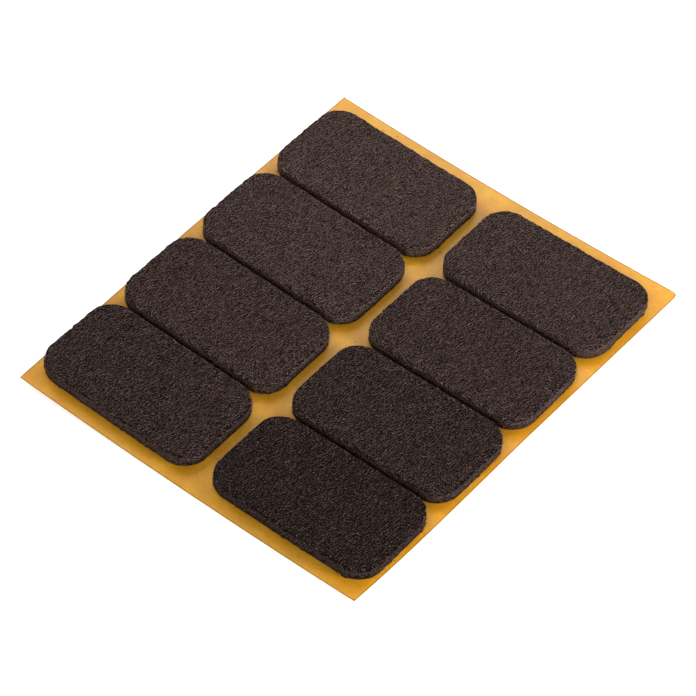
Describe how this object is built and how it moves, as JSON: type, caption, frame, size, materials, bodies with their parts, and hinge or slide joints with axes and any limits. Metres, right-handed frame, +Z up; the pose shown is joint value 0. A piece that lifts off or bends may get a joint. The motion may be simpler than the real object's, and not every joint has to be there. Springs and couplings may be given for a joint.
{
  "type": "sheet of felt furniture pads",
  "caption": "Flat release liner carrying rows of rounded rectangular self-adhesive felt pads that peel off to go under furniture legs and protect floors.",
  "frame": {"origin": "centre of the liner's underside", "axes": "+X across the sheet along the pads' length, +Y along the sheet towards the wider end margin, +Z up out of the felt"},
  "size_m": [0.099, 0.1198, 0.0033],
  "materials": {
    "liner": "satin",
    "felt": "matte",
    "adhesive": "satin"
  },
  "bodies": {
    "liner": {"release_liner": "liner"},
    "pad_1": {"felt_pad_1": "felt", "adhesive_layer_1": "adhesive"},
    "pad_2": {"felt_pad_2": "felt", "adhesive_layer_2": "adhesive"},
    "pad_3": {"felt_pad_3": "felt", "adhesive_layer_3": "adhesive"},
    "pad_4": {"felt_pad_4": "felt", "adhesive_layer_4": "adhesive"},
    "pad_5": {"felt_pad_5": "felt", "adhesive_layer_5": "adhesive"},
    "pad_6": {"felt_pad_6": "felt", "adhesive_layer_6": "adhesive"},
    "pad_7": {"felt_pad_7": "felt", "adhesive_layer_7": "adhesive"},
    "pad_8": {"felt_pad_8": "felt", "adhesive_layer_8": "adhesive"}
  },
  "joints": [
    {"name": "pad_1_peel", "type": "slide", "parent": "liner", "child": "pad_1", "axis": [0, 0, 1], "range_m": [0, 0.03]},
    {"name": "pad_2_peel", "type": "slide", "parent": "liner", "child": "pad_2", "axis": [0, 0, 1], "range_m": [0, 0.03]},
    {"name": "pad_3_peel", "type": "slide", "parent": "liner", "child": "pad_3", "axis": [0, 0, 1], "range_m": [0, 0.03]},
    {"name": "pad_4_peel", "type": "slide", "parent": "liner", "child": "pad_4", "axis": [0, 0, 1], "range_m": [0, 0.03]},
    {"name": "pad_5_peel", "type": "slide", "parent": "liner", "child": "pad_5", "axis": [0, 0, 1], "range_m": [0, 0.03]},
    {"name": "pad_6_peel", "type": "slide", "parent": "liner", "child": "pad_6", "axis": [0, 0, 1], "range_m": [0, 0.03]},
    {"name": "pad_7_peel", "type": "slide", "parent": "liner", "child": "pad_7", "axis": [0, 0, 1], "range_m": [0, 0.03]},
    {"name": "pad_8_peel", "type": "slide", "parent": "liner", "child": "pad_8", "axis": [0, 0, 1], "range_m": [0, 0.03]}
  ]
}
